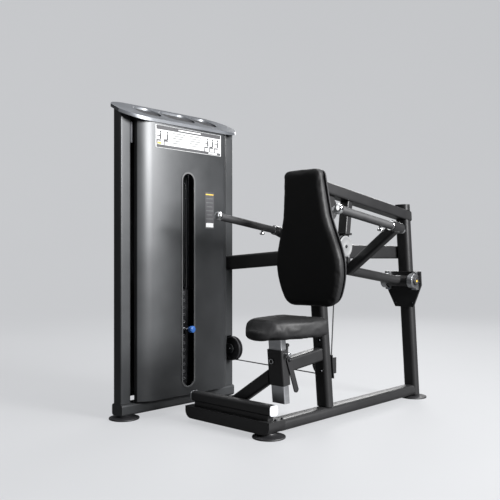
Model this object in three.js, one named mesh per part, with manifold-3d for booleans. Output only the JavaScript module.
// A seated dip machine with a shrouded weight tower.
//
// Millimetres, +Z up. The seated person faces -Y, with the weight tower beside them at -X.
// Everything is laid out around the front foot of the seat line, where X = 0, Y = 0 and the
// floor is Z = 0. At the end the whole machine is moved so that the middle of its footprint
// is the origin.

import * as THREE from 'three';
import { mergeVertices } from 'three/addons/utils/BufferGeometryUtils.js';
import Module from 'manifold-3d';

const wasm = await Module();
wasm.setup();

// ---------------------------------------------------------------- driving dimensions

const GAP = 0.3;              // clearance between neighbouring pieces
const BORE_GAP = 0.1;         // radial clearance of a bore on its shaft
const FAR = 4000;             // larger than the machine, for blocks that cut
const ROUND_STEPS = 20;       // facets of a plain round piece
const BORE_STEPS = 24;        // facets of bores and their shafts
const PIVOT_STEPS = 36;       // facets of the arm's shaft and its bores
const CORNER_STEPS = 2;       // steps of a rounded tube corner

const WALL = 3;               // wall of the frame tubes
const TUBE_WIDE = 76;         // wide side of the frame tubes
const TUBE_NARROW = 54;       // narrow side of the frame tubes
const TUBE_CORNER = 20;       // outer corner radius of the frame tubes
const LEAN_SLOPE = 0.1;       // the uprights lean towards the front by this much per unit height
const LEAN = Math.atan(LEAN_SLOPE);

const FLOOR_TUBE_BOTTOM = 20; // underside of the floor tubes, on the feet
const FLOOR_TUBE_TOP = 76;    // top of the floor tubes

// front cross member and footrest
const CROSS_LEFT = 46;
const CROSS_RIGHT = -485;
const CROSS_FRONT = -50;
const CROSS_REAR = 56;
const CROSS_CORNER = 36;
const CROSS_WALL = 4;
const FOOTREST_LEFT = 39;
const FOOTREST_RIGHT = -463;
const FOOTREST_Y = -10;
const FOOTREST_DEEP = 52;
const FOOTREST_TALL = 45;
const FOOTREST_BOTTOM = 99;
const FOOTREST_CORNER = 12;
const FOOTREST_CAP = 4;
const FOOTREST_WEB = [-445, 18];   // the web under the footrest runs between these X values
const FOOTREST_WEB_DEEP = 34;

// feet
const FOOT_RADIUS = 73;
const FOOT_EDGE = 8;
const FOOT_NECK_RADIUS = 26;
const REAR_FOOT_Y = 1205;

// base rail
const BASE_RAIL_TOP = 74;
const BASE_RAIL_CORNER = 22;

// uprights: middle of each section where its line meets the floor
const BACK_UPRIGHT_Y = 407.8;
const REAR_UPRIGHT_Y = 1199;
const REAR_UPRIGHT_TOP = 1064;

// top rail, falling towards the rear
const TOP_RAIL_SLOPE = -0.1333;
const TOP_RAIL_Z = 1151.7;    // height of its middle line at Y = 0
const TOP_RAIL_FRONT = 277;

// middle rail and side rail
const MID_RAIL_Z = 805;
const MID_RAIL_FRONT = 612;
const MID_RAIL_WIDE = 50;
const MID_RAIL_TALL = 70;
const SIDE_RAIL_TALL = 76;
const SIDE_RAIL_DEEP = 50;
const SIDE_RAIL_CORNER = 12;

// upper pulley and the post it hangs from
const WRAP = 50;              // radius of the cable round the frame pulleys
const PULLEY_WIDTH = 22;
const AXLE_RADIUS = 8;
const UPPER_PULLEY = new THREE.Vector3(0, 537, 829);
const UPPER_RIM = 56;
const HANGER_POST_Y = 575;    // where the post leaves the underside of the top rail
const HANGER_POST_WIDE = 50;
const HANGER_POST_DEEP = 40;
const HANGER_POST_LENGTH = 152;
const HANGER_FLANGE = [60, 52, 10];
const HANGER_CHEEK_INNER = 13.5;
const HANGER_CHEEK_THICK = 4.5;
const HANGER_CHEEK_HALF = 20;
const COVER_RADIUS = 52;
const COVER_THICK = 5;

// lower pulley, its axle along Y
const LOWER_PULLEY = new THREE.Vector3(-50, 445, 262);
const LOWER_RIM = 57;
const LOWER_CHEEK_THICK = 5;
const LOWER_CHEEK_GAP = 3;
const LOWER_WEB = [12, 18];   // the web stands between these X values
const LOWER_BASE_TALL = 113;
const LOWER_BASE_THICK = 6;

// seat post, sleeve, support rail and brace
const SEAT_POST_Y = 94.5;     // where the line of the seat post meets the floor
const SEAT_POST_WIDE = 73;
const SEAT_POST_DEEP = 37;
const SEAT_POST_BOTTOM = 138;
const SEAT_PLATE_BOTTOM = 424;
const SEAT_PLATE = [110, 150, 6];
const SEAT_HOLE_COUNT = 6;
const SEAT_HOLE_FIRST = 228;
const SEAT_HOLE_PITCH = 26;
const SEAT_HOLE_RADIUS = 6;
const SLEEVE_WIDE = 86;
const SLEEVE_DEEP = 50;
const SLEEVE_WALL = 6;
const SLEEVE_BOTTOM = 220;
const SLEEVE_TOP = 377;
const SUPPORT_WIDE = 50;
const SUPPORT_TALL = 62;
const SUPPORT_Z = 297;
const BRACE_FOOT = new THREE.Vector3(-325, 45, 60);
const BRACE_HEAD = new THREE.Vector3(-20, 68, 270);
const BRACE_TALL = 56;
const BRACE_DEEP = 44;

// seat lock: lever on the open side of the sleeve, and the pin it draws
const LEVER_PIVOT = [15, 330];
const LEVER_TIP = [52, 192];
const LEVER_HALF_WIDTH = 14;
const LEVER_THICK = 6;
const LEVER_SIDE_GAP = 1;
const STUD_RADIUS = 5;
const LOCK_PIN_Y = 0;
const LOCK_PIN_Z = 358;
const LOCK_PIN_RADIUS = 5;
const LOCK_PIN_TIP = 37.5;
const LOCK_PIN_LENGTH = 24;
const LOCK_PIN_HEAD_RADIUS = 9;
const LOCK_PIN_HEAD = 8;

// seat cushion
const SEAT_CUSHION_BOTTOM = 430.3;
const SEAT_CUSHION_TOP = 505;
const SEAT_NOSE = -112;
const SEAT_REAR = 262;
const SEAT_HALF = 150;
const SEAT_BEVEL = 14;

// back cushion: half widths of its outline and the heights they are found at
const BACK_BOTTOM = 550;
const BACK_TOP = 1191;
const BACK_TOP_HALF = 113;
const BACK_CORNER = 42;
const BACK_NECK_HALF = 135;
const BACK_NECK_Z = 974;
const BACK_WIDEST_HALF = 196;
const BACK_WIDEST_Z = 745;
const BACK_WAIST_HALF = 171;
const BACK_WAIST_Z = 611;
const BACK_BOTTOM_HALF = 100;
const BACK_FOAM = 43.4;
const BACK_BEVEL = 13;
const BACK_BOARD = 7;
const BACK_BOARD_INSET = 0.96;

// press arm
const PIVOT = new THREE.Vector3(0, 1062, 650);
const SHAFT_RADIUS = 12.5;
const SHAFT_HALF = 96;
const HUB_RADIUS = 30;
const HUB_HALF = 62;
const BEARING_RADIUS = 39;
const BEARING_INNER = 66;
const BEARING_OUTER = 96;
const BEARING_FOOT_HALF = 48;
const PIVOT_CAP_RADIUS = 22;
const PIVOT_CAP_LENGTH = 10;
const PIVOT_PLATE_THICK = 10;
const PIVOT_PLATE_HALF = 110;
const PIVOT_PLATE_TOP = 702;
const PIVOT_PLATE_SHOULDER = 627;
const PIVOT_PLATE_BOTTOM = 508;
const PIVOT_PLATE_BOTTOM_HALF = 56;
const ARM_RADIUS = 24;
const ARM_WALL = 3.5;
const ARM_JUNCTION = new THREE.Vector3(0, -472, 62);
const ARM_FRONT_OVERRUN = 16;
const LUG = [10, 24, 48];
const LUG_Y = -475;
const LUG_TOP = 124.5;
const STRUT_TALL = 50;
const STRUT_DEEP = 38;
const STRUT_CORNER = 10;
const COLLAR_RADIUS = 24;

// handles: lengths run along the handle from its front end
const HANDLE_X = 344;
const HANDLE_FRONT = new THREE.Vector3(0, -1042, 319.8);
const HANDLE_SLOPE = -0.135;
const HANDLE_LENGTH = 502;
const HANDLE_ROD_RADIUS = 15;
const HANDLE_CAP_RADIUS = 21;
const HANDLE_CAP_LENGTH = 18;
const GRIP_RADIUS = 17.5;
const GRIP_END = 400;
const RING_END = 406;
const COLLAR_END = 484;
const HANDLE_TAIL_RADIUS = 22;

// weight tower, laid out around its own middle
const TOWER = new THREE.Vector3(-740, 120, 0);
const TOWER_HALF = 377.5;     // outer ends of the two columns, along Y
const COLUMN = 60;
const COLUMN_WALL = 4;
const COLUMN_CORNER = 8;
const TOWER_BASE_WIDE = 80;
const TOWER_FOOT_Y = 335;
const SHROUD_FACE = 94;       // outer face of each shroud from the middle plane
const SHROUD_FACE_HALF = 237;
const SHROUD_BEVEL_FACE = 55;
const SHROUD_BEVEL_HALF = 300;
const SHROUD_LIP_FACE = 30.5; // where the lip that turns inwards ends
const SHROUD_THICK = 3;
const SHROUD_BOTTOM = 82;
const SLOT_Y = -8.5;
const SLOT_WIDTH = 77;
const SLOT_BOTTOM = 127;
const SLOT_TOP = 1200;
const SLOT_RIM = 7;
const SLOT_RIM_THICK = 3;
const CAP_MIDDLE_Z = 1497;
const CAP_SLOPE = -0.5;
const CAP_THICK = 16;
const CAP_HALF = 100;
const CAP_SHOULDER = 236;
const CAP_TIP = 391;
const CAP_TIP_HALF = 32;
const CAP_RECESSES = [[-190, 150], [5, 210], [190, 150]];   // middle and length of each
const CAP_RECESS_X = -8;
const CAP_RECESS_WIDE = 116;
const CAP_RECESS_DEEP = 11;
const PLACARD_HALF = 220;
const PLACARD_BOTTOM = 1310;
const PLACARD_TOP = 1421;
const PLACARD_THICK = 1.5;

// inside the tower
const ROD_Y = 62;
const ROD_RADIUS = 12.5;
const ROD_HOLE = 13.6;
const HEAD_PLATE = 6;
const HEAD_INNER = 20;
const HEAD_BOTTOM = 1328;
const HEAD_TOP = 1430;
const HEAD_HALF = 316.7;
const HEAD_CROSS_HALF = 100;
const HEAD_CROSS_THICK = 10;
const TOP_WRAP = 45;
const TOP_RIM = 52;
const TOP_PULLEYS = [45, 302];
const TOP_PULLEY_Z = 1400;
const EXIT_PULLEY = [58, 347, 280];
const EXIT_WRAP = 58;
const EXIT_RIM = 65;
const EXIT_WIDTH = 30;
const EXIT_WINDOW = [34, 134];
const EXIT_LUG = [5, 50];

// stack of plates
const PLATE_LONG = 300;
const PLATE_DEEP = 104;
const PLATE_THICK = 36;
const PLATE_PITCH = 36.3;
const PLATE_GROOVE = 1.2;
const STACK_BOTTOM = 104;
const RESTING_PLATES = 8;
const LIFTED_PLATES = 5;
const STEM_RADIUS = 12;
const STEM_BORE = 6.3;
const STEM_BOTTOM = 110;
const STEM_TOP = 655;
const STEM_BORE_DEPTH = 262;
const STEM_COLLAR_RADIUS = 22;
const STEM_COLLAR = 28;
const STEM_HOLE = 12.4;
const BUMPER_RADIUS = 26;
const BUMPER_PLATE = 8;
const PIN_RADIUS = 4.6;
const PIN_INNER = 14;
const KNOB_INNER = 90;
const KNOB_OUTER = 125;
const KNOB_RADIUS = 17.5;
const PIN_Z = STACK_BOTTOM + (RESTING_PLATES + 0.5) * PLATE_PITCH;

// cable
const CABLE_RADIUS = 3;
const CABLE_SIDES = 6;
const CABLE_ARC_STEPS = 6;
const CABLE_START_Z = 650;
const CABLE_END_Z = 775;

const X_AXIS = new THREE.Vector3(1, 0, 0);
const Y_AXIS = new THREE.Vector3(0, 1, 0);
const Z_AXIS = new THREE.Vector3(0, 0, 1);

// ---------------------------------------------------------------- materials

const surface = (color, roughness, metalness) =>
  new THREE.MeshStandardMaterial({ color, roughness, metalness });

const framePaint = surface(0x34373c, 0.45, 0.35);
const capPaint = surface(0x8e9299, 0.4, 0.3);
const blackPlastic = surface(0x1a1a1c, 0.6, 0);
const greyPlastic = surface(0xb9bcc0, 0.5, 0);
const silverMetal = surface(0xb4b8bd, 0.3, 0.9);
const chrome = surface(0xdadde0, 0.12, 1);
const rubber = surface(0x17181a, 0.8, 0);
const upholstery = surface(0x202125, 0.65, 0);
const plateSteel = surface(0x2a2b2e, 0.6, 0.4);
const knobBlue = surface(0x2d62b3, 0.4, 0);
const cableSteel = surface(0x3a3b3d, 0.45, 0.5);
const placardWhite = surface(0xe6e8ea, 0.5, 0);

// ---------------------------------------------------------------- solids

// Closed solid of a geometry, with its shared corners merged.
function solidFrom(geometry) {
  const bare = geometry.clone();
  bare.deleteAttribute('normal');
  bare.deleteAttribute('uv');
  const welded = mergeVertices(bare);
  const corners = welded.index.array;
  const triangles = [];
  for (let i = 0; i < corners.length; i += 3) {
    const [a, b, c] = [corners[i], corners[i + 1], corners[i + 2]];
    if (a !== b && b !== c && c !== a) triangles.push(a, b, c);
  }
  return new wasm.Manifold(new wasm.Mesh({
    numProp: 3,
    vertProperties: new Float32Array(welded.attributes.position.array),
    triVerts: new Uint32Array(triangles),
  }));
}

function geometryFrom(solid) {
  const mesh = solid.getMesh();
  const geometry = new THREE.BufferGeometry();
  geometry.setAttribute('position', new THREE.BufferAttribute(mesh.vertProperties, 3));
  geometry.setIndex(new THREE.BufferAttribute(mesh.triVerts, 1));
  geometry.computeVertexNormals();
  return geometry;
}

function join(...geometries) {
  const [first, ...rest] = geometries.map(solidFrom);
  return geometryFrom(rest.reduce((sum, next) => sum.add(next), first));
}

function cut(geometry, ...tools) {
  const start = solidFrom(geometry);
  return geometryFrom(tools.map(solidFrom).reduce((left, tool) => left.subtract(tool), start));
}

// Block that fills everything beyond a plane through a point, on the side the direction points to.
function beyond(point, direction) {
  const turn = new THREE.Quaternion().setFromUnitVectors(Z_AXIS, direction.clone().normalize());
  return new THREE.BoxGeometry(FAR, FAR, FAR)
    .translate(0, 0, FAR / 2)
    .applyQuaternion(turn)
    .translate(point.x, point.y, point.z);
}

// Block that fills everything beyond one coordinate, such as all heights under the floor tubes.
const below = (z) => beyond(new THREE.Vector3(0, 0, z), Z_AXIS.clone().negate());
const above = (z) => beyond(new THREE.Vector3(0, 0, z), Z_AXIS);

function box(fromX, toX, fromY, toY, fromZ, toZ) {
  return new THREE.BoxGeometry(toX - fromX, toY - fromY, toZ - fromZ)
    .translate((fromX + toX) / 2, (fromY + toY) / 2, (fromZ + toZ) / 2);
}

// Cylinders along each axis, from one coordinate to another.
function roundZ(radius, from, to, steps = ROUND_STEPS) {
  return new THREE.CylinderGeometry(radius, radius, to - from, steps)
    .rotateX(Math.PI / 2)
    .translate(0, 0, (from + to) / 2);
}

function roundX(radius, from, to, steps = ROUND_STEPS) {
  return new THREE.CylinderGeometry(radius, radius, to - from, steps)
    .rotateZ(-Math.PI / 2)
    .translate((from + to) / 2, 0, 0);
}

function roundY(radius, from, to, steps = ROUND_STEPS) {
  return new THREE.CylinderGeometry(radius, radius, to - from, steps)
    .translate(0, (from + to) / 2, 0);
}

// Rounded rectangle in the XY plane, centred on the origin.
function roundedRectangle(width, height, radius, outline = new THREE.Shape()) {
  const x = width / 2 - radius;
  const y = height / 2 - radius;
  const quarter = Math.PI / 2;
  outline.moveTo(x + radius, -y);
  outline.lineTo(x + radius, y);
  outline.absarc(x, y, radius, 0, quarter);
  outline.lineTo(-x, y + radius);
  outline.absarc(-x, y, radius, quarter, 2 * quarter);
  outline.lineTo(-x - radius, -y);
  outline.absarc(-x, -y, radius, 2 * quarter, 3 * quarter);
  outline.lineTo(x, -y - radius);
  outline.absarc(x, -y, radius, 3 * quarter, 4 * quarter);
  return outline;
}

// Chamfered outline of the hollow in a rectangular tube.
function hollowOutline(width, height, radius, wall) {
  const x = width / 2 - wall;
  const y = height / 2 - wall;
  const chamfer = Math.max(radius - wall, 1);
  const corners = [
    [x, chamfer - y], [x, y - chamfer], [x - chamfer, y], [chamfer - x, y],
    [-x, y - chamfer], [-x, chamfer - y], [chamfer - x, -y], [x - chamfer, -y],
  ];
  return corners.map(([px, py]) => new THREE.Vector2(px, py));
}

// Section of a rectangular tube, rounded outside and chamfered inside.
function tubeSection(width, height, radius, wall) {
  const section = roundedRectangle(width, height, radius);
  section.holes.push(new THREE.Path(hollowOutline(width, height, radius, wall)));
  return section;
}

function extrude(section, length) {
  const options = { depth: length, bevelEnabled: false, curveSegments: CORNER_STEPS };
  return new THREE.ExtrudeGeometry(section, options);
}

// Bar from one point to another; the section's own X runs along the given direction.
function barBetween(section, start, end, across) {
  const along = end.clone().sub(start);
  const length = along.length();
  const up = new THREE.Vector3().crossVectors(along, across).normalize();
  const side = new THREE.Vector3().crossVectors(up, along).normalize();
  const frame = new THREE.Matrix4().makeBasis(side, up, along.normalize()).setPosition(start);
  return extrude(section, length).applyMatrix4(frame);
}

// Moves a geometry drawn around an upright line into the leaning line that meets the floor at y.
function leanAt(geometry, y) {
  return geometry.rotateX(LEAN).translate(0, y, 0);
}

// Direction across the leaning uprights, towards the rear.
const LEAN_REAR = new THREE.Vector3(0, Math.cos(LEAN), Math.sin(LEAN));

// Point on a leaning face, from the Y where the face would meet the floor.
const leanPoint = (y) => new THREE.Vector3(0, y, 0);

const HALF_LEANING_DEPTH = TUBE_NARROW / 2 / Math.cos(LEAN);
const backUprightFront = BACK_UPRIGHT_Y - HALF_LEANING_DEPTH;
const backUprightRear = BACK_UPRIGHT_Y + HALF_LEANING_DEPTH;
const rearUprightFront = REAR_UPRIGHT_Y - HALF_LEANING_DEPTH;
const rearUprightRear = REAR_UPRIGHT_Y + HALF_LEANING_DEPTH;

const inFrontOf = (y) => beyond(leanPoint(y), LEAN_REAR.clone().negate());
const behind = (y) => beyond(leanPoint(y), LEAN_REAR);

function piece(name, geometry, material) {
  const mesh = new THREE.Mesh(geometry, material);
  mesh.name = name;
  return mesh;
}

function placed(mesh, x, y, z) {
  mesh.position.set(x, y, z);
  return mesh;
}

function group(position, ...pieces) {
  const made = new THREE.Group();
  made.position.copy(position);
  made.add(...pieces);
  return made;
}

// ---------------------------------------------------------------- base

function frontCrossMember() {
  const tall = FLOOR_TUBE_TOP - FLOOR_TUBE_BOTTOM;
  const drainRadius = 10;
  const profile = (inset) => {
    const corner = CROSS_CORNER - inset;
    const shape = new THREE.Shape();
    shape.moveTo(CROSS_RIGHT + inset, tall - inset);
    shape.lineTo(CROSS_RIGHT + inset, inset + corner);
    shape.absarc(CROSS_RIGHT + inset + corner, inset + corner, corner, Math.PI, 1.5 * Math.PI);
    shape.lineTo(CROSS_LEFT - inset - corner, inset);
    shape.absarc(CROSS_LEFT - inset - corner, inset + corner, corner, 1.5 * Math.PI, 2 * Math.PI);
    shape.lineTo(CROSS_LEFT - inset, tall - inset);
    return shape;
  };
  const bar = (inset) => {
    const depth = CROSS_REAR - CROSS_FRONT - 2 * inset;
    return new THREE.ExtrudeGeometry(profile(inset), { depth, bevelEnabled: false, curveSegments: 4 })
      .rotateX(Math.PI / 2)
      .translate(0, CROSS_REAR - inset, FLOOR_TUBE_BOTTOM);
  };
  const drain = roundZ(drainRadius, 0, FLOOR_TUBE_BOTTOM + tall / 2, BORE_STEPS / 4)
    .translate((CROSS_LEFT + CROSS_RIGHT) / 2, 0, 0);
  return piece('front_cross_member', cut(bar(0), bar(CROSS_WALL), drain), framePaint);
}

function footrest() {
  const middleZ = FOOTREST_BOTTOM + FOOTREST_TALL / 2;
  const section = (wall) => tubeSection(FOOTREST_DEEP, FOOTREST_TALL, FOOTREST_CORNER, wall);
  const start = new THREE.Vector3(FOOTREST_RIGHT + FOOTREST_CAP + GAP, FOOTREST_Y, middleZ);
  const end = new THREE.Vector3(FOOTREST_LEFT - FOOTREST_CAP - GAP, FOOTREST_Y, middleZ);
  const half = FOOTREST_WEB_DEEP / 2;
  const [webFrom, webTo] = FOOTREST_WEB;
  const web = box(
    webFrom, webTo,
    FOOTREST_Y - half, FOOTREST_Y + half,
    FLOOR_TUBE_TOP + GAP, FOOTREST_BOTTOM + WALL / 2,
  );
  const tube = barBetween(section(WALL), start, end, Y_AXIS);
  const cap = (name, x) => {
    const outline = roundedRectangle(FOOTREST_DEEP, FOOTREST_TALL, FOOTREST_CORNER);
    const from = new THREE.Vector3(x, FOOTREST_Y, middleZ);
    const to = new THREE.Vector3(x + FOOTREST_CAP, FOOTREST_Y, middleZ);
    return piece(name, barBetween(outline, from, to, Y_AXIS), greyPlastic);
  };
  return [
    piece('footrest_tube', join(tube, web), framePaint),
    cap('footrest_cap_left', FOOTREST_LEFT - FOOTREST_CAP),
    cap('footrest_cap_right', FOOTREST_RIGHT),
  ];
}

function foot(name, x, y) {
  const neck = FLOOR_TUBE_BOTTOM - GAP;
  const profile = [
    [0, 0], [FOOT_RADIUS - 3, 0], [FOOT_RADIUS, 3], [FOOT_RADIUS, FOOT_EDGE - 2],
    [FOOT_RADIUS - 3, FOOT_EDGE], [FOOT_NECK_RADIUS + 10, FOOT_EDGE + 3],
    [FOOT_NECK_RADIUS, neck], [0, neck],
  ].map(([r, z]) => new THREE.Vector2(r, z));
  const geometry = new THREE.LatheGeometry(profile, ROUND_STEPS).rotateX(Math.PI / 2);
  return placed(piece(name, join(geometry), blackPlastic), x, y, 0);
}

function baseRail() {
  const middleZ = (FLOOR_TUBE_BOTTOM + BASE_RAIL_TOP) / 2;
  const tall = BASE_RAIL_TOP - FLOOR_TUBE_BOTTOM;
  const start = new THREE.Vector3(0, CROSS_REAR + GAP, middleZ);
  const end = new THREE.Vector3(0, REAR_UPRIGHT_Y, middleZ);
  const section = tubeSection(TUBE_WIDE, tall, BASE_RAIL_CORNER, WALL);
  const rail = barBetween(section, start, end, X_AXIS);
  return piece('base_rail', cut(rail, behind(rearUprightFront - GAP)), framePaint);
}

// ---------------------------------------------------------------- uprights and rails

const topRailZ = (y) => TOP_RAIL_Z + TOP_RAIL_SLOPE * y;
const TOP_RAIL_ALONG = new THREE.Vector3(0, 1, TOP_RAIL_SLOPE).normalize();
const TOP_RAIL_UP = new THREE.Vector3(0, -TOP_RAIL_SLOPE, 1).normalize();

// Point over or under the middle line of the top rail, square to the rail.
function besideTopRail(y, rise) {
  return new THREE.Vector3(0, y, topRailZ(y)).addScaledVector(TOP_RAIL_UP, rise);
}

// Point on the underside of the top rail, a little below the steel.
const underTopRail = (y) => besideTopRail(y, -TUBE_NARROW / 2 - GAP);

function leaningTube(y) {
  return leanAt(extrude(tubeSection(TUBE_WIDE, TUBE_NARROW, TUBE_CORNER, WALL), FAR / 3), y);
}

function backUpright() {
  const tools = [below(BASE_RAIL_TOP + GAP), beyond(underTopRail(0), TOP_RAIL_UP)];
  return piece('back_upright', cut(leaningTube(BACK_UPRIGHT_Y), ...tools), framePaint);
}

function rearUpright() {
  const tools = [below(FLOOR_TUBE_BOTTOM), beyond(underTopRail(0), TOP_RAIL_UP)];
  return piece('rear_upright', cut(leaningTube(REAR_UPRIGHT_Y), ...tools), framePaint);
}

// Tube along a line, its front end closed by its own wall.
function closedRail(width, height, start, direction) {
  const corner = TUBE_CORNER / 2;
  const end = start.clone().addScaledVector(direction, FAR / 3);
  const hollowStart = start.clone().addScaledVector(direction, WALL);
  const hollowEnd = end.clone().addScaledVector(direction, WALL);
  const hollow = new THREE.Shape(hollowOutline(width, height, corner, WALL));
  const outside = barBetween(roundedRectangle(width, height, corner), start, end, X_AXIS);
  return cut(outside, barBetween(hollow, hollowStart, hollowEnd, X_AXIS));
}

// Rail over both uprights, with a short stub that carries on the line of the rear one.
function topRail() {
  const start = new THREE.Vector3(0, TOP_RAIL_FRONT, topRailZ(TOP_RAIL_FRONT));
  const rail = closedRail(TUBE_WIDE, TUBE_NARROW, start, TOP_RAIL_ALONG);
  const stub = leanAt(
    extrude(roundedRectangle(TUBE_WIDE, TUBE_NARROW, TUBE_CORNER), FAR / 3),
    REAR_UPRIGHT_Y,
  );
  const insideTopWall = besideTopRail(0, (TUBE_NARROW - WALL) / 2);
  const ends = [beyond(insideTopWall, TOP_RAIL_UP.clone().negate()), above(REAR_UPRIGHT_TOP)];
  const whole = join(cut(rail, behind(rearUprightRear)), cut(stub, ...ends));
  return piece('top_rail', whole, framePaint);
}

// Rail on the tower's side of the rear upright, up to the upright's rear face.
const MID_RAIL_X = -(TUBE_WIDE + MID_RAIL_WIDE) / 2 - 2 * GAP;

function midRail() {
  const start = new THREE.Vector3(MID_RAIL_X, MID_RAIL_FRONT, MID_RAIL_Z);
  const rail = closedRail(MID_RAIL_WIDE, MID_RAIL_TALL, start, Y_AXIS);
  return piece('mid_rail', cut(rail, behind(rearUprightRear)), framePaint);
}

function sideRail() {
  const start = new THREE.Vector3(TOWER.x + COLUMN / 2, 468, 747);
  const end = new THREE.Vector3(MID_RAIL_X - MID_RAIL_WIDE / 2, 636, 799);
  const beyondStart = start.clone().sub(end).normalize().multiplyScalar(COLUMN).add(start);
  const beyondEnd = end.clone().sub(start).normalize().multiplyScalar(COLUMN).add(end);
  const section = tubeSection(SIDE_RAIL_TALL, SIDE_RAIL_DEEP, SIDE_RAIL_CORNER, WALL);
  const rail = barBetween(section, beyondStart, beyondEnd, Z_AXIS);
  const towerSide = beyond(new THREE.Vector3(start.x + GAP, 0, 0), X_AXIS.clone().negate());
  const railSide = beyond(new THREE.Vector3(end.x - GAP, 0, 0), X_AXIS);
  return piece('side_rail', cut(rail, towerSide, railSide), framePaint);
}

// ---------------------------------------------------------------- pulleys

// Grooved wheel along Z: hub faces at plus and minus half the width, bore through the middle.
function wheel(wrap, rim, width) {
  const floor = wrap - CABLE_RADIUS - 0.4;
  const floorHalf = CABLE_RADIUS + 0.7;
  const rimHalf = CABLE_RADIUS + 4;
  const half = width / 2;
  const bore = AXLE_RADIUS + BORE_GAP;
  const profile = [
    [bore, -half], [rim - 4, -half], [rim, -rimHalf], [floor, -floorHalf],
    [floor, floorHalf], [rim, rimHalf], [rim - 4, half], [bore, half], [bore, -half],
  ].map(([r, z]) => new THREE.Vector2(r, z));
  return new THREE.LatheGeometry(profile, BORE_STEPS).rotateX(Math.PI / 2);
}

const wheelAlongX = (...sizes) => join(wheel(...sizes).rotateY(Math.PI / 2));
const wheelAlongY = (...sizes) => join(wheel(...sizes).rotateX(Math.PI / 2));

// Post under the top rail, its flange, and the clevis that carries the upper pulley's axle.
function pulleyHanger() {
  const top = underTopRail(HANGER_POST_Y);
  const down = TOP_RAIL_UP.clone().negate();
  const foot = top.clone().addScaledVector(down, HANGER_POST_LENGTH);
  const section = roundedRectangle(HANGER_POST_WIDE, HANGER_POST_DEEP, FOOTREST_CORNER / 2);
  const post = barBetween(section, top, foot, X_AXIS);
  const [flangeX, flangeY, flangeZ] = HANGER_FLANGE;
  const flangeEnd = foot.clone().addScaledVector(down, flangeZ);
  const flange = barBetween(roundedRectangle(flangeX, flangeY, 4), foot, flangeEnd, X_AXIS);
  const drop = flangeEnd.z - UPPER_PULLEY.z;
  const shift = flangeEnd.y - UPPER_PULLEY.y;
  const outline = new THREE.Shape();
  outline.moveTo(shift + HANGER_CHEEK_HALF, drop + flangeZ / 2);
  outline.lineTo(shift - HANGER_CHEEK_HALF, drop + flangeZ / 2);
  outline.lineTo(-HANGER_CHEEK_HALF, 0);
  outline.absarc(0, 0, HANGER_CHEEK_HALF, Math.PI, 2 * Math.PI);
  const cheek = (fromX) => extrude(outline, HANGER_CHEEK_THICK)
    .rotateX(Math.PI / 2)
    .rotateZ(Math.PI / 2)
    .translate(fromX, UPPER_PULLEY.y, UPPER_PULLEY.z);
  const outer = HANGER_CHEEK_INNER + HANGER_CHEEK_THICK;
  const axle = roundX(AXLE_RADIUS, -outer, outer, BORE_STEPS)
    .translate(0, UPPER_PULLEY.y, UPPER_PULLEY.z);
  const parts = [post, flange, cheek(-outer), cheek(HANGER_CHEEK_INNER), axle];
  return piece('pulley_hanger', join(...parts), framePaint);
}

function upperPulley() {
  const pulley = piece('upper_pulley', wheelAlongX(WRAP, UPPER_RIM, PULLEY_WIDTH), blackPlastic);
  return placed(pulley, UPPER_PULLEY.x, UPPER_PULLEY.y, UPPER_PULLEY.z);
}

function pulleyCover() {
  const inner = HANGER_CHEEK_INNER + HANGER_CHEEK_THICK + GAP;
  const profile = [
    [0, 0], [COVER_RADIUS - 2, 0], [COVER_RADIUS, 2], [COVER_RADIUS - 3, COVER_THICK],
    [10, COVER_THICK], [8, COVER_THICK + 4], [0, COVER_THICK + 4],
  ].map(([r, x]) => new THREE.Vector2(r, x));
  const disc = new THREE.LatheGeometry(profile, ROUND_STEPS).rotateZ(-Math.PI / 2);
  const cover = piece('pulley_cover', join(disc), greyPlastic);
  return placed(cover, inner, UPPER_PULLEY.y, UPPER_PULLEY.z);
}

function lowerPulley() {
  const pulley = piece('lower_pulley', wheelAlongY(WRAP, LOWER_RIM, PULLEY_WIDTH), blackPlastic);
  return placed(pulley, LOWER_PULLEY.x, LOWER_PULLEY.y, LOWER_PULLEY.z);
}

function lowerPulleyBracket() {
  const { x, y, z } = LOWER_PULLEY;
  const [webFrom, webTo] = LOWER_WEB;
  const half = PULLEY_WIDTH / 2 + LOWER_CHEEK_GAP;
  const outer = half + LOWER_CHEEK_THICK;
  const cheekHalf = 20;
  const webHalf = 38;
  const baseMiddle = backUprightRear + (GAP + LOWER_BASE_THICK / 2) / Math.cos(LEAN);
  const baseTall = z / Math.cos(LEAN) + LOWER_BASE_TALL / 2;
  const base = leanAt(
    box(
      -TUBE_WIDE / 2, TUBE_WIDE / 2,
      -LOWER_BASE_THICK / 2, LOWER_BASE_THICK / 2,
      baseTall - LOWER_BASE_TALL, baseTall,
    ),
    baseMiddle,
  );
  const web = box(webFrom, webTo, backUprightRear - 60, y + outer, z - webHalf, z + webHalf);
  const cheek = (fromY) => join(
    box(x, webTo, fromY, fromY + LOWER_CHEEK_THICK, z - cheekHalf, z + cheekHalf),
    roundY(cheekHalf, fromY, fromY + LOWER_CHEEK_THICK).translate(x, 0, z),
  );
  const axle = roundY(AXLE_RADIUS, -outer, outer, BORE_STEPS).translate(x, y, z);
  const whole = join(base, web, cheek(y - outer), cheek(y + half), axle);
  return piece('lower_pulley_bracket', cut(whole, inFrontOf(backUprightRear + GAP)), framePaint);
}

// ---------------------------------------------------------------- seat

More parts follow.
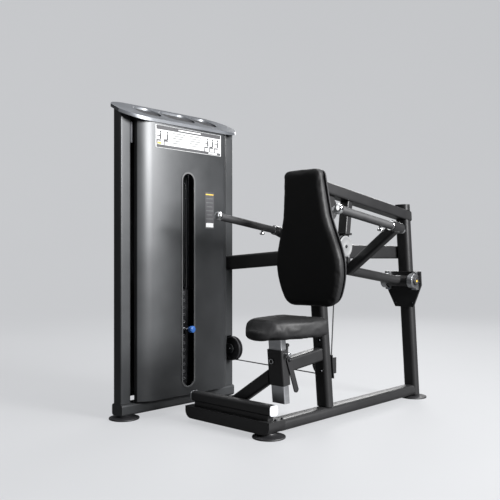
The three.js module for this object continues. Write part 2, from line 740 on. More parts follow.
function seatSleeve() {
  const section = tubeSection(SLEEVE_WIDE, SLEEVE_DEEP, 8, SLEEVE_WALL);
  const tube = extrude(section, SLEEVE_TOP - SLEEVE_BOTTOM).translate(0, 0, SLEEVE_BOTTOM);
  const side = SLEEVE_WIDE / 2;
  const [pivotY, pivotZ] = LEVER_PIVOT;
  const studEnd = side + LEVER_SIDE_GAP + LEVER_THICK + 2;
  const stud = roundX(STUD_RADIUS, side - 1, studEnd, BORE_STEPS).translate(0, pivotY, pivotZ);
  const pinHole = roundX(LOCK_PIN_RADIUS + BORE_GAP, side - SLEEVE_WALL - 1, side + 1, BORE_STEPS)
    .translate(0, LOCK_PIN_Y, LOCK_PIN_Z);
  const plug = roundY(11, -SLEEVE_DEEP / 2 - 5, -SLEEVE_DEEP / 2 + 1).translate(-15, 0, 327);
  return piece('seat_sleeve', cut(join(tube, stud, plug), pinHole), framePaint);
}

function seatPost() {
  const section = tubeSection(SEAT_POST_WIDE, SEAT_POST_DEEP, 5, WALL);
  const tube = leanAt(extrude(section, SEAT_PLATE_BOTTOM * 2), SEAT_POST_Y);
  const holes = [];
  for (let i = 0; i < SEAT_HOLE_COUNT; i += 1) {
    const z = SEAT_HOLE_FIRST + i * SEAT_HOLE_PITCH;
    const hole = roundX(SEAT_HOLE_RADIUS, 0, SEAT_POST_WIDE, 16).translate(0, 0, z);
    holes.push(leanAt(hole, SEAT_POST_Y));
  }
  const trimmed = cut(tube, below(SEAT_POST_BOTTOM), above(SEAT_PLATE_BOTTOM + 1), ...holes);
  const [plateX, plateY, plateZ] = SEAT_PLATE;
  const middle = SEAT_POST_Y - LEAN_SLOPE * SEAT_PLATE_BOTTOM;
  const plate = box(
    -plateX / 2, plateX / 2,
    middle - plateY / 2, middle + plateY / 2,
    SEAT_PLATE_BOTTOM, SEAT_PLATE_BOTTOM + plateZ,
  );
  return piece('seat_post', join(trimmed, plate), silverMetal);
}

function seatSupportRail() {
  const from = SLEEVE_DEEP / 2 + GAP;
  const to = (backUprightFront - SEAT_POST_Y) * Math.cos(LEAN) - GAP;
  const start = new THREE.Vector3(0, from, SUPPORT_Z);
  const end = new THREE.Vector3(0, to, SUPPORT_Z);
  const section = tubeSection(SUPPORT_WIDE, SUPPORT_TALL, FOOTREST_CORNER, WALL);
  return piece('seat_support_rail', barBetween(section, start, end, X_AXIS), framePaint);
}

function seatBrace() {
  const section = tubeSection(BRACE_TALL, BRACE_DEEP, FOOTREST_CORNER, WALL);
  const bar = barBetween(section, BRACE_FOOT, BRACE_HEAD, Z_AXIS);
  const face = new THREE.Vector3(-SLEEVE_WIDE / 2 - GAP, 0, 0);
  const tools = [below(FLOOR_TUBE_TOP + GAP), beyond(face, X_AXIS)];
  return piece('seat_brace', cut(bar, ...tools), framePaint);
}

// Flat lever with round ends, hanging beside the sleeve from its stud.
function seatLockLever() {
  const [pivotY, pivotZ] = LEVER_PIVOT;
  const [tipY, tipZ] = LEVER_TIP;
  const from = SLEEVE_WIDE / 2 + LEVER_SIDE_GAP;
  const to = from + LEVER_THICK;
  const pivot = new THREE.Vector3((from + to) / 2, 0, 0);
  const tip = new THREE.Vector3((from + to) / 2, tipY - pivotY, tipZ - pivotZ);
  const strap = roundedRectangle(LEVER_THICK, 2 * LEVER_HALF_WIDTH, 0.5);
  const bar = barBetween(strap, pivot, tip, X_AXIS);
  const head = roundX(LEVER_HALF_WIDTH, from, to, BORE_STEPS);
  const end = roundX(LEVER_HALF_WIDTH, from, to, BORE_STEPS).translate(0, tip.y, tip.z);
  const bore = roundX(STUD_RADIUS + BORE_GAP, from - 1, to + 1, BORE_STEPS);
  const lever = piece('seat_lock_lever', cut(join(bar, head, end), bore), framePaint);
  return placed(lever, 0, pivotY, pivotZ);
}

function seatLockPin() {
  const outer = LOCK_PIN_TIP + LOCK_PIN_LENGTH;
  const rod = roundX(LOCK_PIN_RADIUS, LOCK_PIN_TIP, outer, BORE_STEPS);
  const head = roundX(LOCK_PIN_HEAD_RADIUS, outer - 1, outer + LOCK_PIN_HEAD);
  return placed(piece('seat_lock_pin', join(rod, head), chrome), 0, LOCK_PIN_Y, LOCK_PIN_Z);
}

function seatCushion() {
  const outline = new THREE.Shape();
  const cornerRadius = 40;
  outline.moveTo(0, SEAT_NOSE);
  outline.bezierCurveTo(50, SEAT_NOSE, 85, -70, 105, -30);
  outline.bezierCurveTo(125, 10, SEAT_HALF, 90, SEAT_HALF, 190);
  outline.lineTo(SEAT_HALF, SEAT_REAR - cornerRadius);
  outline.quadraticCurveTo(SEAT_HALF, SEAT_REAR, SEAT_HALF - cornerRadius, SEAT_REAR);
  outline.lineTo(cornerRadius - SEAT_HALF, SEAT_REAR);
  outline.quadraticCurveTo(-SEAT_HALF, SEAT_REAR, -SEAT_HALF, SEAT_REAR - cornerRadius);
  outline.lineTo(-SEAT_HALF, 190);
  outline.bezierCurveTo(-SEAT_HALF, 90, -125, 10, -105, -30);
  outline.bezierCurveTo(-85, -70, -50, SEAT_NOSE, 0, SEAT_NOSE);
  const tall = SEAT_CUSHION_TOP - SEAT_CUSHION_BOTTOM;
  const cushion = new THREE.ExtrudeGeometry(outline, {
    depth: tall - 2 * SEAT_BEVEL,
    curveSegments: 6,
    bevelThickness: SEAT_BEVEL,
    bevelSize: SEAT_BEVEL,
    bevelOffset: -SEAT_BEVEL,
    bevelSegments: 2,
  });
  cushion.translate(0, 0, SEAT_BEVEL);
  return placed(piece('seat_cushion', join(cushion), upholstery), 0, 0, SEAT_CUSHION_BOTTOM);
}

// ---------------------------------------------------------------- back cushion

// Outline of the back cushion seen from the front: narrow head, broad middle, rounded bottom.
function backOutline() {
  const side = (shape, sign) => {
    shape.quadraticCurveTo(sign * BACK_TOP_HALF, BACK_TOP, sign * BACK_TOP_HALF, BACK_TOP - BACK_CORNER);
    shape.quadraticCurveTo(sign * 124, 1050, sign * BACK_NECK_HALF, BACK_NECK_Z);
    shape.bezierCurveTo(
      sign * 157, 884, sign * BACK_WIDEST_HALF, 810, sign * BACK_WIDEST_HALF, BACK_WIDEST_Z,
    );
    shape.bezierCurveTo(
      sign * BACK_WIDEST_HALF, 690, sign * 186, 650, sign * BACK_WAIST_HALF, BACK_WAIST_Z,
    );
    shape.bezierCurveTo(sign * 158, 570, sign * 125, BACK_BOTTOM, sign * BACK_BOTTOM_HALF, BACK_BOTTOM);
  };
  const half = new THREE.Path();
  half.moveTo(BACK_TOP_HALF - BACK_CORNER, BACK_TOP);
  side(half, 1);
  const right = half.getPoints(6);
  const left = right.map((point) => new THREE.Vector2(-point.x, point.y)).reverse();
  return new THREE.Shape([...right, ...left]);
}

function backCushion() {
  const foam = new THREE.ExtrudeGeometry(backOutline(), {
    depth: BACK_FOAM - 2 * BACK_BEVEL,
    bevelThickness: BACK_BEVEL,
    bevelSize: BACK_BEVEL,
    bevelOffset: -BACK_BEVEL,
    bevelSegments: 2,
  });
  const back = -GAP - BACK_BOARD - GAP - BACK_BEVEL;
  foam.rotateX(Math.PI / 2).translate(0, back, 0);
  return piece('back_cushion', join(foam), upholstery);
}

function backCushionBoard() {
  const middle = (BACK_TOP + BACK_BOTTOM) / 2;
  const board = extrude(backOutline(), BACK_BOARD)
    .translate(0, -middle, 0)
    .scale(BACK_BOARD_INSET, BACK_BOARD_INSET, 1)
    .translate(0, middle, 0)
    .rotateX(Math.PI / 2)
    .translate(0, -GAP, 0);
  return piece('back_cushion_board', join(board), blackPlastic);
}

// ---------------------------------------------------------------- pivot of the press arm

function pivotPlate() {
  const stretch = 1 / Math.cos(LEAN);
  const outline = new THREE.Shape();
  outline.moveTo(-PIVOT_PLATE_HALF, PIVOT_PLATE_SHOULDER * stretch);
  outline.lineTo(-PIVOT_PLATE_BOTTOM_HALF, PIVOT_PLATE_BOTTOM * stretch);
  outline.lineTo(PIVOT_PLATE_BOTTOM_HALF, PIVOT_PLATE_BOTTOM * stretch);
  outline.lineTo(PIVOT_PLATE_HALF, PIVOT_PLATE_SHOULDER * stretch);
  outline.lineTo(PIVOT_PLATE_HALF, PIVOT_PLATE_TOP * stretch);
  outline.lineTo(-PIVOT_PLATE_HALF, PIVOT_PLATE_TOP * stretch);
  const plate = extrude(outline, PIVOT_PLATE_THICK).rotateX(Math.PI / 2).translate(0, -GAP, 0);
  return piece('pivot_plate', leanAt(plate, rearUprightFront), framePaint);
}

const plateFront = rearUprightFront - (2 * GAP + PIVOT_PLATE_THICK) / Math.cos(LEAN);

// Bearing housing with a flat foot against the pivot plate, on the side given by the sign.
function bearing(name, sign) {
  const [from, to] = sign > 0 ? [BEARING_INNER, BEARING_OUTER] : [-BEARING_OUTER, -BEARING_INNER];
  const ring = roundX(BEARING_RADIUS, from, to, BORE_STEPS);
  const foot = box(from, to, 14, 60, -BEARING_FOOT_HALF, BEARING_FOOT_HALF);
  const hole = roundX(SHAFT_RADIUS + BORE_GAP, from - 1, to + 1, PIVOT_STEPS);
  const whole = cut(join(ring, foot), hole).translate(0, PIVOT.y, PIVOT.z);
  return piece(name, cut(whole, behind(plateFront)), silverMetal);
}

function pivotCap() {
  const r = PIVOT_CAP_RADIUS;
  const profile = [[0, 0], [r, 0], [r, PIVOT_CAP_LENGTH - 3], [r - 3, PIVOT_CAP_LENGTH], [0, PIVOT_CAP_LENGTH]]
    .map(([radius, x]) => new THREE.Vector2(radius, x));
  const cap = new THREE.LatheGeometry(profile, ROUND_STEPS).rotateZ(-Math.PI / 2);
  return placed(piece('pivot_cap', join(cap), blackPlastic), BEARING_OUTER + GAP, PIVOT.y, PIVOT.z);
}

function pivotShaft() {
  const shaft = roundX(SHAFT_RADIUS, -SHAFT_HALF, SHAFT_HALF, PIVOT_STEPS);
  return placed(piece('pivot_shaft', shaft, silverMetal), PIVOT.x, PIVOT.y, PIVOT.z);
}

// ---------------------------------------------------------------- press arm, around its pivot

const ARM_ALONG = ARM_JUNCTION.clone().normalize();
const ARM_END = ARM_JUNCTION.clone().addScaledVector(ARM_ALONG, ARM_FRONT_OVERRUN);

// Round bar of the given radius along the arm tube, between two distances from the pivot.
function alongArm(radius, from, to) {
  const turn = new THREE.Quaternion().setFromUnitVectors(Y_AXIS, ARM_ALONG);
  return roundY(radius, from, to).applyQuaternion(turn);
}

// Block of the lug that takes the cable's end, grown on all sides where a neighbour is cut by it.
function cableLug(grow) {
  const [wide, deep, tall] = LUG;
  return box(
    -wide / 2 - grow, wide / 2 + grow,
    LUG_Y - deep / 2 - grow, LUG_Y + deep / 2 + grow,
    LUG_TOP - tall - grow, LUG_TOP + grow,
  );
}

function armTube() {
  const reach = ARM_END.length();
  const tube = alongArm(ARM_RADIUS, 0, reach);
  const inside = alongArm(ARM_RADIUS - ARM_WALL, HUB_RADIUS + 2, reach - ARM_WALL);
  const drain = roundZ(4, -ARM_RADIUS * 2, 0, 12).translate(0, ARM_JUNCTION.y / 2, ARM_JUNCTION.z / 2);
  const hub = roundX(HUB_RADIUS, -HUB_HALF, HUB_HALF, BORE_STEPS);
  const bore = roundX(SHAFT_RADIUS + BORE_GAP, -HUB_HALF - 1, HUB_HALF + 1, PIVOT_STEPS);
  return piece('arm_tube', cut(join(tube, hub, cableLug(0)), inside, drain, bore), framePaint);
}

const HANDLE_ALONG = new THREE.Vector3(0, 1, HANDLE_SLOPE).normalize();

// Turns a geometry drawn along Y onto the line of a handle, its Y = 0 at the front end.
function ontoHandle(geometry, x) {
  const turn = new THREE.Quaternion().setFromUnitVectors(Y_AXIS, HANDLE_ALONG);
  return geometry.applyQuaternion(turn).translate(x, HANDLE_FRONT.y, HANDLE_FRONT.z);
}

// Strut from the arm tube out to the collar that holds a handle.
function strut(name, x) {
  const collarMiddle = HANDLE_FRONT.clone().addScaledVector(HANDLE_ALONG, (RING_END + COLLAR_END) / 2);
  const head = new THREE.Vector3(x, collarMiddle.y, collarMiddle.z);
  const section = tubeSection(STRUT_TALL, STRUT_DEEP, STRUT_CORNER, WALL);
  const bar = barBetween(section, ARM_JUNCTION, head, Z_AXIS);
  const tubeClear = alongArm(ARM_RADIUS + GAP, 0, ARM_END.length() + ARM_FRONT_OVERRUN * 4);
  const middle = new THREE.Vector3(Math.sign(x) * GAP, 0, 0);
  const otherSide = beyond(middle, X_AXIS.clone().multiplyScalar(-Math.sign(x)));
  const collar = ontoHandle(roundY(COLLAR_RADIUS, RING_END + GAP, COLLAR_END, BORE_STEPS), x);
  const bore = ontoHandle(roundY(HANDLE_ROD_RADIUS + GAP, 0, HANDLE_LENGTH, BORE_STEPS), x);
  const joined = join(cut(bar, tubeClear, otherSide, cableLug(GAP)), collar);
  return piece(name, cut(joined, bore), framePaint);
}

// Handle bar with its front cap, the ring behind the grip and the end cap behind the collar.
function handleBar(name, x) {
  const profile = [
    [0, 0], [HANDLE_CAP_RADIUS - 4, 0], [HANDLE_CAP_RADIUS, 4], [HANDLE_CAP_RADIUS, HANDLE_CAP_LENGTH],
    [HANDLE_ROD_RADIUS, HANDLE_CAP_LENGTH], [HANDLE_ROD_RADIUS, GRIP_END + GAP],
    [HANDLE_CAP_RADIUS, GRIP_END + GAP], [HANDLE_CAP_RADIUS, RING_END],
    [HANDLE_ROD_RADIUS, RING_END], [HANDLE_ROD_RADIUS, COLLAR_END + GAP],
    [HANDLE_TAIL_RADIUS, COLLAR_END + GAP], [HANDLE_TAIL_RADIUS, HANDLE_LENGTH - 4],
    [HANDLE_TAIL_RADIUS - 4, HANDLE_LENGTH], [0, HANDLE_LENGTH],
  ].map(([r, y]) => new THREE.Vector2(r, y));
  const bar = ontoHandle(new THREE.LatheGeometry(profile, BORE_STEPS), x);
  return piece(name, join(bar), chrome);
}

function grip(name, x) {
  const sleeve = roundY(GRIP_RADIUS, HANDLE_CAP_LENGTH + GAP, GRIP_END, BORE_STEPS);
  const bore = roundY(HANDLE_ROD_RADIUS + GAP, 0, HANDLE_LENGTH, BORE_STEPS);
  return piece(name, ontoHandle(cut(sleeve, bore), x), rubber);
}

// ---------------------------------------------------------------- weight tower, around its middle

// Top face of the tilted cap at a distance from the middle plane.
const capTop = (x) => CAP_MIDDLE_Z + CAP_SLOPE * x;
const CAP_UP = new THREE.Vector3(-CAP_SLOPE, 0, 1).normalize();
const overCap = (drop) => beyond(new THREE.Vector3(0, 0, capTop(0) - drop), CAP_UP);
const underCap = (drop) =>
  beyond(new THREE.Vector3(0, 0, capTop(0) - drop), CAP_UP.clone().negate());

function towerBaseTube() {
  const tall = FLOOR_TUBE_TOP - FLOOR_TUBE_BOTTOM;
  const middleZ = (FLOOR_TUBE_TOP + FLOOR_TUBE_BOTTOM) / 2;
  const run = (section, half) => barBetween(
    section,
    new THREE.Vector3(0, -half, middleZ),
    new THREE.Vector3(0, half, middleZ),
    X_AXIS,
  );
  const outer = run(roundedRectangle(TOWER_BASE_WIDE, tall, FOOTREST_CORNER), TOWER_HALF);
  const inner = run(
    roundedRectangle(TOWER_BASE_WIDE - 2 * COLUMN_WALL, tall - 2 * COLUMN_WALL, COLUMN_CORNER),
    TOWER_HALF - COLUMN_WALL,
  );
  const drain = roundZ(10, 0, middleZ, 12);
  return piece('tower_base_tube', cut(outer, inner, drain), framePaint);
}

function column(y) {
  const section = tubeSection(COLUMN, COLUMN, COLUMN_CORNER, COLUMN_WALL);
  const tube = extrude(section, CAP_MIDDLE_Z * 1.1).translate(0, y, FLOOR_TUBE_TOP + GAP);
  return cut(tube, overCap(CAP_THICK + GAP));
}

const COLUMN_Y = TOWER_HALF - COLUMN / 2;

function frontColumn() {
  return piece('tower_front_column', column(-COLUMN_Y), framePaint);
}

// Rear column with a notch for the top pulley, a window for the exit pulley, and its lugs.
function rearColumn() {
  const [exitX, exitY, exitZ] = EXIT_PULLEY;
  const [windowWide, windowTall] = EXIT_WINDOW;
  const [lugThick, lugTall] = EXIT_LUG;
  const half = COLUMN / 2;
  const window = box(
    half - COLUMN_WALL - 1, half + 1,
    exitY - windowWide / 2, exitY + windowWide / 2,
    exitZ - windowTall / 2, exitZ + windowTall / 2,
  );
  const notch = box(-16, 16, COLUMN_Y - half - 1, COLUMN_Y, TOP_PULLEY_Z - TOP_RIM - 8, FAR / 2);
  const lugAt = (fromY) => join(
    box(half - 1, exitX, fromY, fromY + lugThick, exitZ - lugTall / 2, exitZ + lugTall / 2),
    roundY(lugTall / 2, fromY, fromY + lugThick).translate(exitX, 0, exitZ),
  );
  const reach = EXIT_WIDTH / 2 + 3;
  const axle = roundY(AXLE_RADIUS, -reach - 1, reach + 1, BORE_STEPS).translate(exitX, exitY, exitZ);
  const lugs = [lugAt(exitY - reach - lugThick), lugAt(exitY + reach)];
  const whole = join(cut(column(COLUMN_Y), window, notch), ...lugs, axle);
  return piece('tower_rear_column', whole, framePaint);
}

// Bent sheet: flat face, a bevel and a lip turned inwards at each end, mirrored for the far side.
function shroudSheet(sign) {
  const outer = [
    [SHROUD_LIP_FACE, -SHROUD_BEVEL_HALF], [SHROUD_BEVEL_FACE, -SHROUD_BEVEL_HALF],
    [SHROUD_FACE, -SHROUD_FACE_HALF], [SHROUD_FACE, SHROUD_FACE_HALF],
    [SHROUD_BEVEL_FACE, SHROUD_BEVEL_HALF], [SHROUD_LIP_FACE, SHROUD_BEVEL_HALF],
  ];
  const lipInner = SHROUD_BEVEL_HALF - SHROUD_THICK;
  const inner = [
    [SHROUD_LIP_FACE, lipInner], [SHROUD_BEVEL_FACE - SHROUD_THICK, lipInner],
    [SHROUD_FACE - SHROUD_THICK, SHROUD_FACE_HALF], [SHROUD_FACE - SHROUD_THICK, -SHROUD_FACE_HALF],
    [SHROUD_BEVEL_FACE - SHROUD_THICK, -lipInner], [SHROUD_LIP_FACE, -lipInner],
  ];
  const outline = new THREE.Shape(
    [...outer, ...inner].map(([x, y]) => new THREE.Vector2(sign * x, y)),
  );
  const sheet = extrude(outline, CAP_MIDDLE_Z * 1.1).translate(0, 0, SHROUD_BOTTOM);
  return cut(sheet, overCap(CAP_THICK + GAP));
}

function roundEndedSlot(grow) {
  const width = SLOT_WIDTH + 2 * grow;
  const tall = SLOT_TOP - SLOT_BOTTOM + 2 * grow;
  return roundedRectangle(width, tall, width / 2 - 0.01);
}

// Turns a shape drawn in the XY plane to face +X on the near shroud, at the slot's middle.
function atSlot(shape, fromX, thick) {
  const options = { depth: thick, bevelEnabled: false, curveSegments: 5 };
  return new THREE.ExtrudeGeometry(shape, options)
    .rotateX(Math.PI / 2)
    .rotateZ(Math.PI / 2)
    .translate(fromX, SLOT_Y, (SLOT_TOP + SLOT_BOTTOM) / 2);
}

function nearShroud() {
  const slot = atSlot(roundEndedSlot(0), SHROUD_FACE - SHROUD_THICK - 1, SHROUD_THICK + 2);
  return piece('shroud_near', cut(shroudSheet(1), slot), framePaint);
}

function farShroud() {
  return piece('shroud_far', shroudSheet(-1), framePaint);
}

function slotTrim() {
  const ring = cut(
    atSlot(roundEndedSlot(SLOT_RIM), SHROUD_FACE + GAP, SLOT_RIM_THICK),
    atSlot(roundEndedSlot(-1), SHROUD_FACE - 1, SLOT_RIM_THICK + 3),
  );
  return piece('slot_trim', ring, greyPlastic);
}

// Tilted lens-shaped cap with three oval recesses.
function towerCap() {
  const outline = new THREE.Shape();
  outline.moveTo(-CAP_HALF, -CAP_SHOULDER);
  outline.quadraticCurveTo(-CAP_HALF, -CAP_TIP + 40, -CAP_TIP_HALF, -CAP_TIP);
  outline.lineTo(CAP_TIP_HALF, -CAP_TIP);
  outline.quadraticCurveTo(CAP_HALF, -CAP_TIP + 40, CAP_HALF, -CAP_SHOULDER);
  outline.lineTo(CAP_HALF, CAP_SHOULDER);
  outline.quadraticCurveTo(CAP_HALF, CAP_TIP - 40, CAP_TIP_HALF, CAP_TIP);
  outline.lineTo(-CAP_TIP_HALF, CAP_TIP);
  outline.quadraticCurveTo(-CAP_HALF, CAP_TIP - 40, -CAP_HALF, CAP_SHOULDER);
  const options = { depth: CAP_MIDDLE_Z * 1.1, bevelEnabled: false, curveSegments: 5 };
  const prism = new THREE.ExtrudeGeometry(outline, options);
  const plate = cut(prism, overCap(0), underCap(CAP_THICK));
  const recesses = CAP_RECESSES.map(([y, long]) => {
    const oval = roundedRectangle(CAP_RECESS_WIDE, long, CAP_RECESS_WIDE / 2 - 0.01);
    const block = extrude(oval, FAR / 2).translate(CAP_RECESS_X, y, 0);
    return cut(block, underCap(CAP_RECESS_DEEP));
  });
  return piece('tower_cap', cut(plate, ...recesses), capPaint);
}

function placard() {
  const from = SHROUD_FACE + GAP;
  const sheet = box(0, PLACARD_THICK, -PLACARD_HALF, PLACARD_HALF, PLACARD_BOTTOM, PLACARD_TOP);
  return placed(piece('placard', sheet, placardWhite), from, 0, 0);
}

// Frame between the two columns that carries the top pulleys and holds the rods' upper ends.
function towerHead() {
  const outer = HEAD_INNER + HEAD_PLATE;
  const plate = (fromX) =>
    box(fromX, fromX + HEAD_PLATE, -HEAD_HALF, HEAD_HALF, HEAD_BOTTOM, HEAD_TOP);
  const cross = box(
    -HEAD_INNER - 1, HEAD_INNER + 1,
    -HEAD_CROSS_HALF, HEAD_CROSS_HALF,
    HEAD_BOTTOM, HEAD_BOTTOM + HEAD_CROSS_THICK,
  );
  const axles = TOP_PULLEYS.map((y) =>
    roundX(AXLE_RADIUS, -HEAD_INNER - 1, HEAD_INNER + 1, BORE_STEPS).translate(0, y, TOP_PULLEY_Z));
  const cableHole = roundZ(10, HEAD_BOTTOM - 1, HEAD_BOTTOM + HEAD_CROSS_THICK + 1);
  const whole = join(plate(-outer), plate(HEAD_INNER), cross, ...axles);
  return piece('tower_head', cut(whole, cableHole), plateSteel);
}

function topPulley(name, y) {
  const pulley = piece(name, wheelAlongX(TOP_WRAP, TOP_RIM, PULLEY_WIDTH), blackPlastic);
  return placed(pulley, 0, y, TOP_PULLEY_Z);
}

function exitPulley() {
  const [x, y, z] = EXIT_PULLEY;
  const pulley = piece('exit_pulley', wheelAlongY(EXIT_WRAP, EXIT_RIM, EXIT_WIDTH), blackPlastic);
  return placed(pulley, x, y, z);
}

function guideRod(name, y) {
  const rod = roundZ(ROD_RADIUS, FLOOR_TUBE_TOP + GAP, HEAD_BOTTOM - GAP);
  return placed(piece(name, rod, chrome), 0, y, 0);
}

// ---------------------------------------------------------------- stack of plates

const rodHoles = (from, to) =>
  [-ROD_Y, ROD_Y].map((y) => roundZ(ROD_HOLE, from, to).translate(0, y, 0));

// A run of plates as one block, with a shallow groove where two plates meet.
function plateRun(firstPlate, count) {
  const bottom = STACK_BOTTOM + firstPlate * PLATE_PITCH;
  const top = bottom + (count - 1) * PLATE_PITCH + PLATE_THICK;
  const core = box(
    PLATE_GROOVE - PLATE_DEEP / 2, PLATE_DEEP / 2 - PLATE_GROOVE,
    PLATE_GROOVE - PLATE_LONG / 2, PLATE_LONG / 2 - PLATE_GROOVE,
    bottom, top,
  );
  const plates = [];
  for (let i = 0; i < count; i += 1) {
    const z = bottom + i * PLATE_PITCH;
    plates.push(box(
      -PLATE_DEEP / 2, PLATE_DEEP / 2,
      -PLATE_LONG / 2, PLATE_LONG / 2,
      z + (i > 0 ? PLATE_GROOVE : 0), z + PLATE_THICK,
    ));
  }
  const stemHole = roundZ(STEM_HOLE, bottom - 1, top + 1);
  return cut(join(core, ...plates), stemHole, ...rodHoles(bottom - 1, top + 1));
}

function restingPlates() {
  return piece('resting_plates', plateRun(0, RESTING_PLATES), plateSteel);
}

function liftedPlates() {
  const hole = roundX(PIN_RADIUS + GAP, 0, PLATE_DEEP).translate(0, 0, PIN_Z);
  return piece('lifted_plates', cut(plateRun(RESTING_PLATES, LIFTED_PLATES), hole), plateSteel);
}

// Top plate with its collar and the long drilled stem that runs down through all the plates.
function stackTopPlate() {
  const bottom = STACK_BOTTOM + (RESTING_PLATES + LIFTED_PLATES) * PLATE_PITCH;
  const top = bottom + PLATE_THICK;
  const plate = box(
    -PLATE_DEEP / 2, PLATE_DEEP / 2,
    -PLATE_LONG / 2, PLATE_LONG / 2,
    bottom, top,
  );
  const stem = roundZ(STEM_RADIUS, STEM_BOTTOM, STEM_TOP);
  const collar = roundZ(STEM_COLLAR_RADIUS, top - 1, top + STEM_COLLAR);
  const bore = roundZ(STEM_BORE, STEM_TOP - STEM_BORE_DEPTH, STEM_TOP + 1);
  const whole = join(cut(plate, ...rodHoles(bottom - 1, top + 1)), stem, collar);
  return piece('stack_top_plate', cut(whole, bore), plateSteel);
}

function selectorPin() {
  const rod = roundX(PIN_RADIUS, PIN_INNER, KNOB_INNER + 1);
  const profile = [
    [0, KNOB_INNER], [KNOB_RADIUS - 6, KNOB_INNER], [KNOB_RADIUS, KNOB_INNER + 12],
    [KNOB_RADIUS, KNOB_OUTER - 4], [KNOB_RADIUS - 4, KNOB_OUTER], [0, KNOB_OUTER],
  ].map(([r, x]) => new THREE.Vector2(r, x));
  const knob = new THREE.LatheGeometry(profile, ROUND_STEPS).rotateZ(-Math.PI / 2);
  return placed(piece('selector_pin', join(rod, knob), knobBlue), 0, 0, PIN_Z);
}

// Rubber bumpers round the rods, on a plate over the tower's base tube.
function stackBumpers() {
  const from = FLOOR_TUBE_TOP + GAP;
  const to = STACK_BOTTOM - GAP;
  const plateHalf = ROD_Y + BUMPER_RADIUS;
  const plate = box(-PLATE_DEEP / 3, PLATE_DEEP / 3, -plateHalf, plateHalf, from, from + BUMPER_PLATE);
  const bumpers = [-ROD_Y, ROD_Y].map((y) => roundZ(BUMPER_RADIUS, from, to).translate(0, y, 0));
  const whole = cut(join(plate, ...bumpers), ...rodHoles(from - 1, to + 1));
  return piece('stack_bumpers', whole, rubber);
}

// ---------------------------------------------------------------- cable

// Path through a list of points, each step of the sweep landing on the next point.
class CableRoute extends THREE.Curve {
  constructor(points) {
    super();
    this.points = points;
  }

  getPointAt(t, target = new THREE.Vector3()) {
    const last = this.points.length - 1;
    return target.copy(this.points[Math.round(t * last)]);
  }

  getTangentAt(t, target = new THREE.Vector3()) {
    const last = this.points.length - 1;
    const i = Math.round(t * last);
    const next = this.points[Math.min(i + 1, last)];
    const previous = this.points[Math.max(i - 1, 0)];
    return target.subVectors(next, previous).normalize();
  }
}

// Points of an arc round a centre, from one angle to another in the plane of two directions.
function arc(centre, radius, first, second, fromAngle, toAngle) {
  const turns = Math.abs(toAngle - fromAngle) / (Math.PI / 2);
  const steps = Math.ceil(turns * CABLE_ARC_STEPS);
  const points = [];
  for (let i = 0; i <= steps; i += 1) {
    const angle = fromAngle + (toAngle - fromAngle) * i / steps;
    points.push(centre.clone()
      .addScaledVector(first, radius * Math.cos(angle))
      .addScaledVector(second, radius * Math.sin(angle)));
  }
  return points;
}

function steelCable() {
  const quarter = Math.PI / 2;
  const inTower = (x, y, z) => new THREE.Vector3(x, y, z).add(TOWER);
  const [frontTop, rearTop] = TOP_PULLEYS.map((y) => inTower(0, y, TOP_PULLEY_Z));
  const exit = inTower(...EXIT_PULLEY);
  const points = [
    inTower(0, 0, CABLE_START_Z),
    ...arc(frontTop, TOP_WRAP, Y_AXIS, Z_AXIS, 2 * quarter, quarter),
    ...arc(rearTop, TOP_WRAP, Y_AXIS, Z_AXIS, quarter, 0),
    ...arc(exit, EXIT_WRAP, X_AXIS, Z_AXIS, -2 * quarter, -quarter),
    ...arc(LOWER_PULLEY, WRAP, X_AXIS, Z_AXIS, -quarter, 0),
    ...arc(UPPER_PULLEY, WRAP, Y_AXIS, Z_AXIS, 2 * quarter, 0),
    new THREE.Vector3(0, UPPER_PULLEY.y + WRAP, CABLE_END_Z),
  ];
  const route = new CableRoute(points);
  const circle = new THREE.Shape();
  circle.absarc(0, 0, CABLE_RADIUS, 0, 2 * Math.PI);
  const options = { steps: points.length - 1, extrudePath: route, curveSegments: CABLE_SIDES / 2 };
  const cable = new THREE.ExtrudeGeometry(circle, options);
  return piece('steel_cable', join(cable), cableSteel);
}

// ---------------------------------------------------------------- the machine

const ORIGIN = new THREE.Vector3(0, 0, 0);

const base = group(
  ORIGIN,
  frontCrossMember(),
  ...footrest(),
  foot('foot_front', 0, 0),
  foot('foot_rear', 0, REAR_FOOT_Y),
  baseRail(),
);

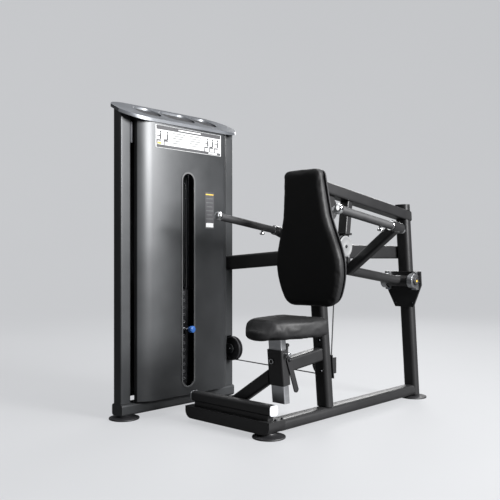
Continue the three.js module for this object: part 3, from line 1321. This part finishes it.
const uprights = group(
  ORIGIN,
  backUpright(),
  rearUpright(),
  topRail(),
  midRail(),
  sideRail(),
  pulleyHanger(),
  upperPulley(),
  pulleyCover(),
  lowerPulley(),
  lowerPulleyBracket(),
);

// Pieces drawn along the seat post; the whole group leans with it.
const seatColumn = group(
  new THREE.Vector3(0, SEAT_POST_Y, 0),
  seatSleeve(),
  seatSupportRail(),
  seatLockLever(),
  seatLockPin(),
);
seatColumn.rotation.x = LEAN;

const seat = group(ORIGIN, seatPost(), seatCushion(), seatBrace());

// Pieces drawn on the front face of the back upright.
const backRest = group(
  new THREE.Vector3(0, backUprightFront, 0),
  backCushion(),
  backCushionBoard(),
);
backRest.rotation.x = LEAN;

const pivot = group(
  ORIGIN,
  pivotPlate(),
  bearing('bearing_left', 1),
  bearing('bearing_right', -1),
  pivotCap(),
  pivotShaft(),
);

const pressArm = group(
  PIVOT,
  armTube(),
  strut('strut_left', HANDLE_X),
  strut('strut_right', -HANDLE_X),
  handleBar('handle_bar_left', HANDLE_X),
  handleBar('handle_bar_right', -HANDLE_X),
  grip('grip_left', HANDLE_X),
  grip('grip_right', -HANDLE_X),
);

const tower = group(
  TOWER,
  foot('foot_tower_front', 0, -TOWER_FOOT_Y),
  foot('foot_tower_rear', 0, TOWER_FOOT_Y),
  towerBaseTube(),
  frontColumn(),
  rearColumn(),
  nearShroud(),
  farShroud(),
  slotTrim(),
  towerCap(),
  placard(),
  towerHead(),
  topPulley('top_pulley_front', TOP_PULLEYS[0]),
  topPulley('top_pulley_rear', TOP_PULLEYS[1]),
  exitPulley(),
  guideRod('guide_rod_front', -ROD_Y),
  guideRod('guide_rod_rear', ROD_Y),
  stackBumpers(),
  restingPlates(),
  liftedPlates(),
  stackTopPlate(),
  selectorPin(),
);

const machine = new THREE.Group();
machine.name = 'seated_dip_machine';
machine.add(base, uprights, seatColumn, seat, backRest, pivot, pressArm, tower, steelCable());
machine.updateMatrixWorld(true);

const extent = new THREE.Box3().setFromObject(machine);
const middle = extent.getCenter(new THREE.Vector3());
machine.position.set(-middle.x, -middle.y, -extent.min.z);

export default machine;
